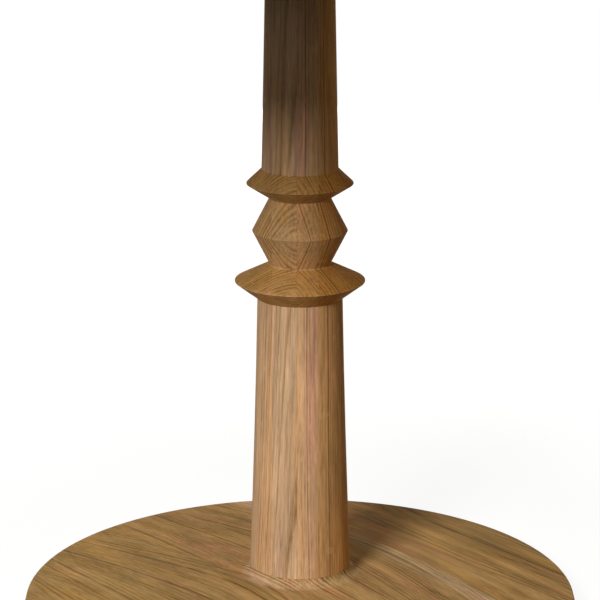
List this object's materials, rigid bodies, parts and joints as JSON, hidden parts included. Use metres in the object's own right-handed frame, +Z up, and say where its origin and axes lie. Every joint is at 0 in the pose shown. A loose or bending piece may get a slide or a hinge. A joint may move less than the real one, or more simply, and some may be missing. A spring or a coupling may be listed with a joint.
{
  "type": "pedestal table leg",
  "caption": "Turned oak pedestal leg with ridged beads on a round base, with a steel plate on top for fixing a table top.",
  "frame": {"origin": "on the floor, under the middle of the base", "axes": "+Z up along the column's axis, +X through one of the glides"},
  "size_m": [0.6296, 0.6296, 0.732],
  "materials": {
    "oak": "natural oil",
    "black_steel": "powder coated",
    "zinc_steel": "zinc plated",
    "insert_brass": "turned",
    "grey_nylon": "matte"
  },
  "bodies": {
    "root": {"column": "oak", "base_disc": "oak", "top_plate": "black_steel", "top_plate_screws": "zinc_steel", "top_inserts": "insert_brass", "foot_inserts": "insert_brass", "base_bolts": "zinc_steel", "base_washers": "zinc_steel", "glides": "grey_nylon", "glide_screws": "zinc_steel"}
  },
  "joints": []
}
